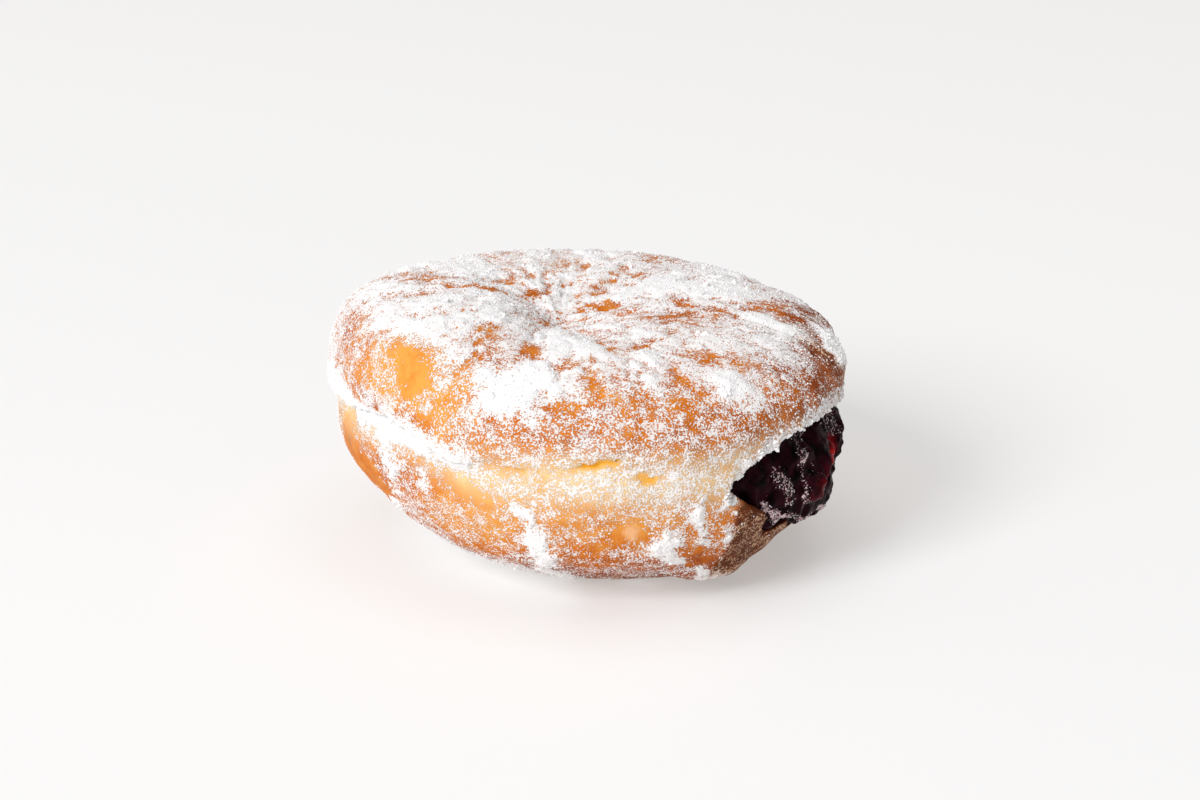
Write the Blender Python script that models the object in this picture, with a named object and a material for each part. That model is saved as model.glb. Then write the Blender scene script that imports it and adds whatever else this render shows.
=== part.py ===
# A raspberry bismarck: a round fried yeast doughnut, filled with jam through a hole in its side.
#
# The doughnut stands on its flat base, centred on the Z axis. Bearings are in degrees round that axis,
# from 0 at -Y (the side that faces the viewer) through 90 at +X. The jam comes out on the +X side.
# Lengths are in metres.

import math

import bmesh
import bpy
import numpy as np
from mathutils import Vector, noise

# Driving dimensions of the dough
BODY_RADIUS = 0.0485
BODY_HEIGHT = 0.0470
PLAN_WAVES = ((2, 0.006, 20.0), (3, 0.008, -75.0), (5, 0.004, 40.0))

# The side of the dough from the flat base up to the middle of the top.
# Each station gives a radius as a share of BODY_RADIUS and a height as a share of BODY_HEIGHT.
PROFILE = (
    (0.500, 0.000),
    (0.675, 0.070),
    (0.860, 0.210),
    (0.945, 0.390),
    (0.972, 0.530),
    (0.977, 0.638),
    (0.995, 0.755),
    (0.950, 0.870),
    (0.830, 0.950),
    (0.640, 0.990),
    (0.420, 1.000),
    (0.200, 0.985),
)
RINGS_PER_STATION = 3
SPOKES = 100

# The flat base sits a little to the right of the middle, and has one corner at the front right
BASE_SHIFT = Vector((0.0045, 0.0020, 0.0))
BASE_CORNER_BEARING = 46.0
BASE_CORNER_SPREAD = 14.0
BASE_CORNER_REACH = 0.0042
BASE_EDGE_HEIGHT = 0.0060

# The top sags towards the right, and its left shoulder stays square
TOP_TILT = -0.0015
SHOULDER_BEARING = -80.0
SHOULDER_SPREAD = 50.0
SHOULDER_LIFT = 0.0030

# Between the two fried halves a fine crease runs round, filled up near the mouth
CREASE_HEIGHT = 0.638 * BODY_HEIGHT
CREASE_DEPTH = 0.0009
CREASE_HALF_HEIGHT = 0.0013
CREASE_WAVES = 7
CREASE_WAVE_HEIGHT = 0.0008
CREASE_WAVE_BEARING = -9.0
CREASE_GAP_SPREAD = 58.0

# At the left the crease climbs, and opens over a ledge where the lower half stands out
LEDGE_BEARING = -55.0
LEDGE_FRONT_SPREAD = 24.0
LEDGE_BACK_SPREAD = 38.0
LEDGE_CLIMB = 0.0050
LEDGE_CLIMB_REACH = 0.0130
LEDGE_DEPTH = 0.0032
LEDGE_UPPER_SIDE = 0.0020
LEDGE_LOWER_SIDE = 0.0055
BULGE_BEARING = -85.0
BULGE_SPREAD = 45.0
BULGE_BELOW_CREASE = 0.0090
BULGE_HALF_HEIGHT = 0.0100
BULGE_REACH = 0.0020

# The hollow in the top where the dough sank, and the wrinkles that run out of it
DIMPLE_CENTRE = Vector((-0.0055, -0.0060, 0.0))
DIMPLE_RADIUS = 0.0085
DIMPLE_DEPTH = 0.0026
WRINKLE_COUNT = 13
WRINKLE_DEPTH = 0.0008
WRINKLE_HALF_WIDTH = 0.0019
WRINKLE_BEND = 14.0
WRINKLE_SEED = 4

# Unevenness of the fried skin
LUMP_SIZE = 0.017
LUMP_HEIGHT = 0.0007

# Caked sugar that stands on the skin: bearing, height, half width, half height, thickness
SUGAR_CAKES = (
    (-17.0, 0.0430, 0.0080, 0.0052, 0.0008),
    (-10.0, 0.0385, 0.0062, 0.0024, 0.0005),
    (-12.0, 0.0120, 0.0025, 0.0060, 0.0006),
    (18.0, 0.0145, 0.0038, 0.0028, 0.0006),
    (84.0, 0.0400, 0.0060, 0.0036, 0.0014),
)

# The mouth in the side, where the jam was piped in and has come out again
MOUTH_BEARING = 66.0
MOUTH_HALF_SPAN = 33.0
MOUTH_HEIGHT = 0.0215
MOUTH_RISE = 0.0127
MOUTH_DROP = 0.0120
MOUTH_SLOPE = -0.0025
UPPER_ROUNDNESS = 1.9
LOWER_ROUNDNESS = 1.25
MOUTH_POINTS = 40
LIP_HEIGHT = 0.0040
LIP_HALF_HEIGHT = 0.0050
LIP_REACH = 0.0006

# The cutter that opens the mouth: its two radii, and its size there as a share of the size on the skin
MOUTH_CUTTER_ENDS = ((0.0370, 0.80), (0.0600, 1.20))

# Under the jam the side falls away, from an upright ridge at its left to the back of the mouth
RIDGE_X = 0.0255
RIDGE_BLEND = 0.0045
FLANK_DEPTH = 0.0027
FLANK_MIDDLE = 0.0020
FLANK_HALF_HEIGHT = 0.0100

# The jam. Its heart is the point that all of it can be seen from. Each lobe is an ellipsoid that holds
# the heart: its centre from there, and its half sizes, both outwards, round the dough and upwards.
JAM_HEART_RADIUS = 0.0320
JAM_HEART_HEIGHT = 0.0195
JAM_LOBES = (
    ((-0.0180, 0.0000, 0.0020), (0.0340, 0.0200, 0.0085)),
    ((0.0000, 0.0000, 0.0020), (0.0160, 0.0310, 0.0125)),
    ((0.0050, -0.0040, 0.0000), (0.0125, 0.0165, 0.0088)),
    ((0.0050, 0.0055, -0.0038), (0.0105, 0.0125, 0.0080)),
    ((0.0035, 0.0090, 0.0045), (0.0130, 0.0150, 0.0095)),
)
JAM_LOBE_SHARPNESS = 1400.0
JAM_OUTER_REACH = 0.0120
JAM_SEGMENTS = 48
JAM_RINGS = 30
JAM_LUMP_SIZE = 0.0060
JAM_LUMP_HEIGHT = 0.0010
JAM_FOLD_SPACING = 0.0090
JAM_FOLD_LEAN = 0.4
JAM_FOLD_HEIGHT = 0.0006
JAM_GAP = 0.00035


def smooth_step(low, high, value):
    share = min(1.0, max(0.0, (value - low) / (high - low)))
    return share * share * (3.0 - 2.0 * share)


def hill(value):
    return math.exp(-value * value)


def turn(bearing, centre):
    """Degrees from centre to bearing, between -180 and 180."""
    return (bearing - centre + 180.0) % 360.0 - 180.0


def outward(bearing):
    angle = math.radians(bearing)
    return Vector((math.sin(angle), -math.cos(angle), 0.0))


def curve_through(points, steps):
    """Points of a smooth curve through all the given points, with steps spans between neighbours."""
    ends = [2 * points[0] - points[1], *points, 2 * points[-1] - points[-2]]
    made = []
    for before, start, end, after in zip(ends, ends[1:], ends[2:], ends[3:]):
        for step in range(steps):
            t = step / steps
            made.append(
                0.5
                * (
                    2 * start
                    + (end - before) * t
                    + (2 * before - 5 * start + 4 * end - after) * t * t
                    + (3 * start - before - 3 * end + after) * t * t * t
                )
            )
    made.append(points[-1])
    return made


def plan_factor(bearing):
    waves = (
        size * math.cos(math.radians(count * turn(bearing, phase)))
        for count, size, phase in PLAN_WAVES
    )
    return 1.0 + sum(waves)


def ledge(bearing):
    """How much of the ledge there is, from 0 to 1."""
    away = turn(bearing, LEDGE_BEARING)
    return hill(away / (LEDGE_FRONT_SPREAD if away > 0.0 else LEDGE_BACK_SPREAD))


def climb(bearing, height):
    """How far the dough round the crease lies above its usual height."""
    wave_angle = math.radians(CREASE_WAVES * (bearing - CREASE_WAVE_BEARING))
    wave = CREASE_WAVE_HEIGHT * math.sin(wave_angle)
    near = hill((height - CREASE_HEIGHT) / LEDGE_CLIMB_REACH)
    return (LEDGE_CLIMB * ledge(bearing) + wave) * near


def crease_cut(bearing, height):
    """How far the dough is drawn in between its two halves."""
    above = height - CREASE_HEIGHT
    away_from_mouth = 1.0 - hill(turn(bearing, MOUTH_BEARING) / CREASE_GAP_SPREAD)
    fine = CREASE_DEPTH * away_from_mouth * hill(above / CREASE_HALF_HEIGHT)
    side = LEDGE_UPPER_SIDE if above > 0.0 else LEDGE_LOWER_SIDE
    wide = LEDGE_DEPTH * ledge(bearing) * hill(above / side)
    bulge = BULGE_REACH * hill(turn(bearing, BULGE_BEARING) / BULGE_SPREAD)
    return fine + wide - bulge * hill((above + BULGE_BELOW_CREASE) / BULGE_HALF_HEIGHT)


def mouth_edge(angle):
    """A point of the mouth's lens-shaped edge: its bearing and height."""
    along, up = math.cos(angle), math.sin(angle)
    power = 2.0 / (UPPER_ROUNDNESS if up > 0.0 else LOWER_ROUNDNESS)
    across = math.copysign(abs(along) ** power, along)
    half_height = MOUTH_RISE if up > 0.0 else MOUTH_DROP
    above = half_height * math.copysign(abs(up) ** power, up)
    return MOUTH_BEARING + MOUTH_HALF_SPAN * across, MOUTH_HEIGHT + MOUTH_SLOPE * across + above


def lip(bearing, height):
    """How far the dough stands out over the mouth."""
    across = turn(bearing, MOUTH_BEARING) / MOUTH_HALF_SPAN
    arch = max(0.0, 1.0 - abs(across) ** UPPER_ROUNDNESS) ** (1.0 / UPPER_ROUNDNESS)
    above = height - MOUTH_HEIGHT - MOUTH_SLOPE * across - MOUTH_RISE * arch
    return LIP_REACH * hill(across) * hill((above - LIP_HEIGHT) / LIP_HALF_HEIGHT)


def flank_cut(bearing, x, height):
    """How far the side is drawn in under the jam, where the uncut dough has the given x."""
    behind = turn(bearing, MOUTH_BEARING) / MOUTH_HALF_SPAN
    inside = smooth_step(0.0, RIDGE_BLEND, x - RIDGE_X) * (1.0 - smooth_step(0.6, 1.3, behind))
    return FLANK_DEPTH * inside * hill((height - FLANK_MIDDLE) / FLANK_HALF_HEIGHT)


def sugar_cake(bearing, height, radius):
    thickness = 0.0
    for centre, level, half_width, half_height, most in SUGAR_CAKES:
        across = math.radians(turn(bearing, centre)) * radius / half_width
        up = (height - level) / half_height
        thickness += most * hill(across**2 + up**2)
    return thickness


def wrinkles():
    """Bearing, reach and depth of each wrinkle that runs out of the dimple."""
    chance = np.random.default_rng(WRINKLE_SEED)
    spacing = 360.0 / WRINKLE_COUNT
    return [
        (
            spacing * (index + chance.uniform(-0.35, 0.35)),
            chance.uniform(0.016, 0.030),
            WRINKLE_DEPTH * chance.uniform(0.5, 1.2),
        )
        for index in range(WRINKLE_COUNT)
    ]


def top_relief(point, folds):
    """The change of height at a point of the top, from the dimple and its wrinkles."""
    away = point - DIMPLE_CENTRE
    distance = math.hypot(away.x, away.y)
    bearing = math.degrees(math.atan2(away.x, -away.y))
    change = -DIMPLE_DEPTH * hill((distance / DIMPLE_RADIUS) ** 2)
    for centre, reach, depth in folds:
        bend = WRINKLE_BEND * math.sin(distance / reach * 2.2)
        across = math.radians(turn(bearing, centre + bend)) * distance / WRINKLE_HALF_WIDTH
        along = smooth_step(0.003, 0.008, distance) * (1.0 - smooth_step(0.6, 1.0, distance / reach))
        change -= depth * along * hill(across)
    return change


def dough_point(bearing, radius, height, folds):
    """Where a point of the plain turned profile lies on the uneven dough."""
    lower = 1.0 - smooth_step(0.0, CREASE_HEIGHT, height)
    upper = smooth_step(CREASE_HEIGHT, BODY_HEIGHT, height)
    edge = 1.0 - smooth_step(0.0, BASE_EDGE_HEIGHT, height)
    side = outward(bearing)
    middle = BASE_SHIFT * lower + DIMPLE_CENTRE * upper * (1.0 - radius / BODY_RADIUS)
    rounded = radius * plan_factor(bearing)
    corner = hill(turn(bearing, BASE_CORNER_BEARING) / BASE_CORNER_SPREAD)
    rounded += BASE_CORNER_REACH * corner * edge
    rounded -= flank_cut(bearing, middle.x + side.x * rounded, height)
    if height == 0.0:
        return middle + side * rounded
    level = height + climb(bearing, height)
    rounded -= crease_cut(bearing, height)
    rounded += lip(bearing, level) + sugar_cake(bearing, level, radius)
    point = middle + side * rounded
    lumps = noise.fractal(point / LUMP_SIZE + Vector((0, 0, level / LUMP_SIZE)), 0.6, 2.0, 3)
    point += side * (LUMP_HEIGHT * lumps * (1.0 - edge))
    point.z = level
    point.z += upper * TOP_TILT * (point.x / BODY_RADIUS)
    point.z += upper * SHOULDER_LIFT * hill(turn(bearing, SHOULDER_BEARING) / SHOULDER_SPREAD)
    point.z += smooth_step(0.75, 0.95, height / BODY_HEIGHT) * top_relief(point, folds)
    return point


def mesh_object(name, bm, material):
    mesh = bpy.data.meshes.new(name)
    bmesh.ops.recalc_face_normals(bm, faces=bm.faces)
    bm.to_mesh(mesh)
    bm.free()
    if material is not None:
        mesh.materials.append(material)
    mesh.shade_smooth()
    made = bpy.data.objects.new(name, mesh)
    bpy.context.scene.collection.objects.link(made)
    return made


def make_dough(material):
    stations = [Vector((r * BODY_RADIUS, z * BODY_HEIGHT)) for r, z in PROFILE]
    profile = curve_through(stations, RINGS_PER_STATION)
    folds = wrinkles()
    bm = bmesh.new()
    rings = []
    for radius, height in profile:
        ring = []
        for spoke in range(SPOKES):
            bearing = 360.0 * spoke / SPOKES
            ring.append(bm.verts.new(dough_point(bearing, radius, max(height, 0.0), folds)))
        rings.append(ring)
    for low, high in zip(rings, rings[1:]):
        for spoke in range(SPOKES):
            after = (spoke + 1) % SPOKES
            bm.faces.new((low[spoke], low[after], high[after], high[spoke]))
    foot = bm.verts.new(BASE_SHIFT)
    crown_height = profile[-1].y + 0.25 * (profile[-1].y - profile[-3].y)
    crown = bm.verts.new(dough_point(0.0, 0.0, crown_height, folds))
    for spoke in range(SPOKES):
        after = (spoke + 1) % SPOKES
        bm.faces.new((rings[0][after], rings[0][spoke], foot))
        bm.faces.new((rings[-1][spoke], rings[-1][after], crown))
    return mesh_object("dough", bm, material)


def ray_exit(direction, centre, half_sizes):
    """How far from the origin a ray leaves an ellipsoid that holds the origin."""
    way = Vector([d / h for d, h in zip(direction, half_sizes)])
    start = Vector([-c / h for c, h in zip(centre, half_sizes)])
    a = way.dot(way)
    b = start.dot(way)
    c = start.dot(start) - 1.0
    return (-b + math.sqrt(b * b - a * c)) / a


def jam_reach(direction):
    """How far the jam goes from its heart in a direction, as a smooth union of its lobes."""
    exits = [ray_exit(direction, centre, half_sizes) for centre, half_sizes in JAM_LOBES]
    most = max(exits)
    blend = sum(math.exp(JAM_LOBE_SHARPNESS * (reach - most)) for reach in exits)
    return most + math.log(blend) / JAM_LOBE_SHARPNESS


def make_jam(material):
    bm = bmesh.new()
    bmesh.ops.create_uvsphere(bm, u_segments=JAM_SEGMENTS, v_segments=JAM_RINGS, radius=1.0)
    ahead = outward(MOUTH_BEARING)
    aside = outward(MOUTH_BEARING + 90.0)
    heart = ahead * JAM_HEART_RADIUS + Vector((0.0, 0.0, JAM_HEART_HEIGHT))
    for vert in bm.verts:
        # The sphere's poles point along the jam's way out
        direction = Vector((vert.co.z, vert.co.x, vert.co.y)).normalized()
        local = direction * jam_reach(direction)
        outer = smooth_step(0.0, JAM_OUTER_REACH, local.x)
        lumps = JAM_LUMP_HEIGHT * noise.fractal(local / JAM_LUMP_SIZE, 0.7, 2.0, 3)
        fold = (local.y + JAM_FOLD_LEAN * local.z) / JAM_FOLD_SPACING
        lumps += JAM_FOLD_HEIGHT * math.sin(2.0 * math.pi * fold)
        local += direction * (lumps * outer)
        # The sides curl back round the doughnut
        local.x -= local.y**2 / (2.0 * BODY_RADIUS) * outer
        vert.co = heart + ahead * local.x + aside * local.y + Vector((0, 0, local.z))
    return mesh_object("jam", bm, material)


def make_mouth_cutter():
    """A helper that opens the mouth, from inside the dough to clear of it."""
    bm = bmesh.new()
    rings = []
    for radius, share in MOUTH_CUTTER_ENDS:
        ring = []
        for index in range(MOUTH_POINTS):
            bearing, height = mouth_edge(2.0 * math.pi * index / MOUTH_POINTS)
            bearing = MOUTH_BEARING + turn(bearing, MOUTH_BEARING) * share
            level = MOUTH_HEIGHT + (height - MOUTH_HEIGHT) * share
            ring.append(bm.verts.new(outward(bearing) * radius + Vector((0, 0, level))))
        middle = bm.verts.new(outward(MOUTH_BEARING) * radius + Vector((0, 0, MOUTH_HEIGHT)))
        for start, end in zip(ring, ring[1:] + ring[:1]):
            bm.faces.new((start, end, middle))
        rings.append(ring)
    inner, outer = rings
    for index in range(MOUTH_POINTS):
        after = (index + 1) % MOUTH_POINTS
        bm.faces.new((inner[index], inner[after], outer[after], outer[index]))
    return as_cutter(mesh_object("mouth_room", bm, None))


def as_cutter(helper):
    helper.hide_render = True
    helper.display_type = "WIRE"
    return helper


def grown_copy(source, by, name):
    """A helper with the source's shape, larger all round, that cuts room for it."""
    made = source.copy()
    made.data = source.data.copy()
    made.name = name
    bpy.context.scene.collection.objects.link(made)
    grow = made.modifiers.new("grow", "DISPLACE")
    grow.strength = by
    grow.mid_level = 0.0
    return as_cutter(made)


def cut(target, cutter):
    boolean = target.modifiers.new("cut_" + cutter.name, "BOOLEAN")
    boolean.operation = "DIFFERENCE"
    boolean.object = cutter


def food_material(name, colour, roughness):
    material = bpy.data.materials.new(name)
    material.use_nodes = True
    shader = material.node_tree.nodes["Principled BSDF"]
    shader.inputs["Base Color"].default_value = (*colour, 1.0)
    shader.inputs["Roughness"].default_value = roughness
    shader.inputs["Metallic"].default_value = 0.0
    material.diffuse_color = (*colour, 1.0)
    return material


def clear_scene():
    for old in list(bpy.data.objects):
        bpy.data.objects.remove(old)


def main():
    clear_scene()
    dough = make_dough(food_material("fried_dough", (0.78, 0.46, 0.20), 0.75))
    jam = make_jam(food_material("raspberry_jam", (0.09, 0.008, 0.02), 0.3))
    cut(dough, grown_copy(jam, JAM_GAP, "jam_room"))
    cut(dough, make_mouth_cutter())


main()
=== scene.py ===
import itertools
import math

import bmesh
import bpy
import numpy as np
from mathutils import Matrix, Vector


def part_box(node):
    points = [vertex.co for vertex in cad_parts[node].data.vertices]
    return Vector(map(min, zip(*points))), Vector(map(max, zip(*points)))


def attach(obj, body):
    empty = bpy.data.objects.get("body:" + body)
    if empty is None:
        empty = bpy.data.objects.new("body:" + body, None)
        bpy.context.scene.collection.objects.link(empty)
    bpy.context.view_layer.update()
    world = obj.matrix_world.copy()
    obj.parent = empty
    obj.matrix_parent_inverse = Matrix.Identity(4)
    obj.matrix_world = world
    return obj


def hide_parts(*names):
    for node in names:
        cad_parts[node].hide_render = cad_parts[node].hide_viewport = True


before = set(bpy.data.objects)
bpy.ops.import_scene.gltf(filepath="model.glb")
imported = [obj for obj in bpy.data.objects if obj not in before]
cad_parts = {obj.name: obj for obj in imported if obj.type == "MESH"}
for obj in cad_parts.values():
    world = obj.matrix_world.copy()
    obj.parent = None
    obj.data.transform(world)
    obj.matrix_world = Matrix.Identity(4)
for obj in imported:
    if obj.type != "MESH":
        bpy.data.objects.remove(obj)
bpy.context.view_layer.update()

scene = bpy.context.scene
mm = 0.001  # sizes below are in metres unless they are multiplied by this


# Camera, floor and light

cameraPlan = {
    "aim": (0.0019, 0.0, 0.0271),
    "distance": 0.62,
    "elevation": 20.0,  # degrees above the floor
    "lens": 97.8,
    "sensor": 36.0,
    "nearest": 0.01,
}

floorPlan = {
    "halfSide": 3.0,
    "drop": 0.00015,  # the doughnut's base and the floor don't share a plane
    "colour": (0.55, 0.55, 0.55),
    "glow": 0.38,  # a lit white floor, which softens the shadow
    "glowColour": (1.0, 0.972, 0.950),
    "roughness": 0.7,
    "specular": 0.2,
}

lightPlan = {
    "skyColour": (1.0, 0.985, 0.97),
    "skyStrength": 0.40,
    "lampColour": (0.985, 1.0, 1.025),
    "softLights": {
        "keyLight": {"at": (-1.75, -2.05, 1.75), "side": 1.4, "power": 90.0},
        "topLight": {"at": (0.0, 0.0, 3.2), "side": 2.5, "power": 22.0},
    },
}


def addCamera(plan):
    data = bpy.data.cameras.new("photoView")
    data.lens = plan["lens"]
    data.sensor_width = plan["sensor"]
    data.clip_start = plan["nearest"]
    camera = bpy.data.objects.new("photoView", data)
    tilt = math.radians(plan["elevation"])
    back = Vector((0.0, -math.cos(tilt), math.sin(tilt)))
    camera.location = Vector(plan["aim"]) + back * plan["distance"]
    camera.rotation_euler = (-back).to_track_quat("-Z", "Y").to_euler()
    scene.collection.objects.link(camera)
    scene.camera = camera


def addFloor(plan):
    half = plan["halfSide"]
    corners = [(-half, -half), (half, -half), (half, half), (-half, half)]
    mesh = bpy.data.meshes.new("floor")
    mesh.from_pydata([(x, y, -plan["drop"]) for x, y in corners], [], [(0, 1, 2, 3)])
    material = bpy.data.materials.new("paleFloor")
    material.use_nodes = True
    shader = material.node_tree.nodes["Principled BSDF"]
    shader.inputs["Base Color"].default_value = (*plan["colour"], 1.0)
    shader.inputs["Roughness"].default_value = plan["roughness"]
    shader.inputs["Specular IOR Level"].default_value = plan["specular"]
    shader.inputs["Emission Color"].default_value = (*plan["glowColour"], 1.0)
    shader.inputs["Emission Strength"].default_value = plan["glow"]
    mesh.materials.append(material)
    floor = bpy.data.objects.new("floor", mesh)
    scene.collection.objects.link(floor)


def addSoftLight(name, plan):
    data = bpy.data.lights.new(name, "AREA")
    data.size = plan["side"]
    data.energy = plan["power"]
    data.color = lightPlan["lampColour"]
    light = bpy.data.objects.new(name, data)
    light.location = plan["at"]
    light.rotation_euler = (-Vector(plan["at"])).to_track_quat("-Z", "Y").to_euler()
    scene.collection.objects.link(light)


def addSky(plan):
    world = bpy.data.worlds.new("studio")
    world.use_nodes = True
    background = world.node_tree.nodes["Background"]
    background.inputs["Color"].default_value = (*plan["skyColour"], 1.0)
    background.inputs["Strength"].default_value = plan["skyStrength"]
    scene.world = world


addCamera(cameraPlan)
addFloor(floorPlan)
addSky(lightPlan)
for lightName, softLight in lightPlan["softLights"].items():
    addSoftLight(lightName, softLight)
scene.view_settings.view_transform = "Standard"
print("camera, floor and light are in place")


# Tools for surfaces

noisePlan = {
    "cellPrimes": (73856093, 19349663, 83492791),
    "seedPrime": 982451653,
    "mixing": ((15, 668265263), (13, 374761393)),  # shift and prime of each turn
    "mask": 0x7FFFFFFF,
    "half": 0x3FFFFFFF,
    "spread": 1.4,  # brings layered noise near the range from -1 to 1
}

skinPlan = {
    "weld": 0.001 * mm,
    "softness": 0.5,
}

strokeShoulder = 1.5  # above 1 a stroke is level in its middle
tiny = 1e-12


def smoothStep(low, high, value):
    share = np.clip((value - low) / (high - low), 0.0, 1.0)
    return share * share * (3.0 - 2.0 * share)


def hill(value):
    return np.exp(-value * value)


def lumpNoise(points, size, seed):
    # smooth random lumps of about that size, from -1 to 1
    scaled = points / size
    cell = np.floor(scaled).astype(np.int64)
    part = scaled - cell
    part = part * part * (3.0 - 2.0 * part)
    total = np.zeros(len(points))
    for corner in itertools.product((0, 1), repeat=3):
        key = (cell + corner) @ np.array(noisePlan["cellPrimes"]) + seed * noisePlan["seedPrime"]
        for shift, prime in noisePlan["mixing"]:
            key = (key ^ (key >> shift)) * prime & noisePlan["mask"]
        weight = np.where(corner, part, 1.0 - part).prod(axis=1)
        total += weight * (key / noisePlan["half"] - 1.0)
    return total


def fractalNoise(points, size, seed, octaves=3, fade=0.55):
    # lumps on lumps, mostly between -1 and 1
    total, square = 0.0, 0.0
    for octave in range(octaves):
        weight = fade**octave
        total = total + weight * lumpNoise(points, size / 2.0**octave, seed + octave)
        square += weight * weight
    return noisePlan["spread"] * total / math.sqrt(square)


def evenSkin(node, name, plan):
    # a closed skin of small even faces over a CAD solid, with its facets softened
    bm = bmesh.new()
    bm.from_mesh(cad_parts[node].data)
    bmesh.ops.remove_doubles(bm, verts=bm.verts, dist=skinPlan["weld"])
    mesh = bpy.data.meshes.new(name)
    bm.to_mesh(mesh)
    bm.free()
    piece = bpy.data.objects.new(name, mesh)
    scene.collection.objects.link(piece)
    remesh = piece.modifiers.new("evenFaces", "REMESH")
    remesh.mode = "VOXEL"
    remesh.voxel_size = plan["voxel"]
    soft = piece.modifiers.new("softFacets", "SMOOTH")
    soft.factor = skinPlan["softness"]
    soft.iterations = plan["softTurns"]
    graph = bpy.context.evaluated_depsgraph_get()
    made = bpy.data.meshes.new_from_object(piece.evaluated_get(graph))
    piece.modifiers.clear()
    piece.data = made
    made.name = name
    return piece


def surfaceOf(piece):
    # the points and the outward directions of a piece's skin
    count = len(piece.data.vertices)
    points = np.empty(count * 3, np.float32)
    normals = np.empty(count * 3, np.float32)
    piece.data.vertices.foreach_get("co", points)
    piece.data.vertices.foreach_get("normal", normals)
    return points.reshape(-1, 3).astype(float), normals.reshape(-1, 3).astype(float)


def moveTo(piece, points):
    piece.data.vertices.foreach_set("co", points.astype(np.float32).ravel())
    piece.data.update()


def paintShare(piece, name, values):
    attribute = piece.data.attributes.new(name, "FLOAT", "POINT")
    attribute.data.foreach_set("value", np.clip(values, 0.0, 1.0).astype(np.float32))


def warped(points, size, reach, seed):
    # the points moved about by smooth noise, so that what is drawn on them has ragged edges
    moves = [fractalNoise(points, size, seed + 10 * axis, octaves=3, fade=0.7) for axis in range(3)]
    return points + reach * np.stack(moves, axis=1)


def strokeCover(points, strokes):
    # what soft strokes add at each point: start and end in mm, half width in mm, change
    total = np.zeros(len(points))
    for start, end, halfWidth, change in strokes:
        start = np.array(start) * mm
        way = np.array(end) * mm - start
        along = np.clip((points - start) @ way / max(way @ way, tiny), 0.0, 1.0)
        away = np.linalg.norm(points - start - along[:, None] * way, axis=1)
        total += change * hill((away / (halfWidth * mm)) ** strokeShoulder)
    return total


# Tools for materials

def addNode(tree, kind, inputs=(), **settings):
    node = tree.nodes.new(kind)
    for key, value in settings.items():
        setattr(node, key, value)
    for key, value in dict(inputs).items():
        if isinstance(value, bpy.types.NodeSocket):
            tree.links.new(value, node.inputs[key])
        else:
            node.inputs[key].default_value = value
    return node


def newMaterial(name):
    material = bpy.data.materials.new(name)
    material.use_nodes = True
    tree = material.node_tree
    return material, tree, tree.nodes["Principled BSDF"]


def noiseOf(tree, coords, size, detail, roughness):
    inputs = {"Vector": coords, "Scale": 1.0 / size, "Detail": detail, "Roughness": roughness}
    return addNode(tree, "ShaderNodeTexNoise", inputs).outputs["Fac"]


def mathOf(tree, operation, first, second):
    return addNode(tree, "ShaderNodeMath", {0: first, 1: second}, operation=operation).outputs[0]


def rangeOf(tree, value, fromLow, fromHigh, toLow=0.0, toHigh=1.0):
    inputs = {0: value, 1: fromLow, 2: fromHigh, 3: toLow, 4: toHigh}
    return addNode(tree, "ShaderNodeMapRange", inputs).outputs[0]


def mixOf(tree, share, first, second):
    inputs = {0: share, 6: first, 7: second}
    return addNode(tree, "ShaderNodeMix", inputs, data_type="RGBA").outputs[2]


def shareOf(tree, name):
    return addNode(tree, "ShaderNodeAttribute", attribute_name=name).outputs["Fac"]


def rampOf(tree, value, stops):
    node = addNode(tree, "ShaderNodeValToRGB", {0: value})
    elements = node.color_ramp.elements
    while len(elements) < len(stops):
        elements.new(0.5)
    for element, (place, colour) in zip(elements, stops):
        element.position = place
        element.color = (*colour, 1.0)
    return node.outputs["Color"]


# The fried dough

doughPlan = {
    "voxel": 0.65 * mm,
    "softTurns": 6,
    "lump": (5.0 * mm, 0.10 * mm),  # size and height of the skin's lumps
    "pucker": (1.5 * mm, 0.04 * mm),
    "wrinkleDepth": 0.30 * mm,
    "cakeFrom": (0.70, 1.05),  # the cover at which sugar starts to stand up, and where it is full
    "cakeHeight": 0.45 * mm,
    "cakeLump": (1.3 * mm, 0.16 * mm),
    "lipRag": (1.6 * mm, 0.55 * mm),  # how the mouth's rim crumbles
    "lipHang": 1.4 * mm,  # how far the rim hangs over the jam
    "ledgeFill": 2.2 * mm,
    "slitRag": (1.2 * mm, 0.45 * mm),
    "slitCrumb": (0.9 * mm, 0.35),
    "slitDepth": 0.6 * mm,
    "wrinkleFacing": (0.55, 0.93),
    "footRise": 1.2 * mm,  # the base keeps its shape near the floor
}

# Bearings are in degrees, and a pair is where a change starts and where it is full
creasePlan = {
    "height": 0.638 * 47.0 * mm,  # as in the solids
    "ledgeBearing": -55.0,
    "ledgeSpread": (24.0, 38.0),  # in front of it and behind it
    "ledgeClimb": 5.0 * mm,
    "ledgeFront": (-22.0, -32.0),
    "ledgeBehind": (-112.0, -92.0),
    "ledgeBand": (0.6 * mm, 2.2 * mm),  # how far above the crease the sugar lies, and half its width
    "waves": (7, 0.8 * mm, -9.0),
}

# The mouth's edge, as it is in the solids
mouthPlan = {
    "bearing": 66.0,
    "halfSpan": 33.0,
    "height": 21.5 * mm,
    "rise": 12.7 * mm,
    "slope": -2.5 * mm,
    "roundness": 1.9,
    "radius": 47.0 * mm,
    "crust": (2.8 * mm, 0.5 * mm),  # the crumbly sugared rim over the jam, and where it is full
    "rag": (2.0 * mm, 0.35 * mm),
    "below": (-2.5 * mm, -1.0 * mm),
    "core": 1.0 * mm,  # avoids a division by nothing in the middle
    "margin": 1.0 * mm,  # above and below the jam
    "inward": (0.0, -0.35),  # how far the skin of the inside faces the middle
    "level": (0.75, 0.35),
}

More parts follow.
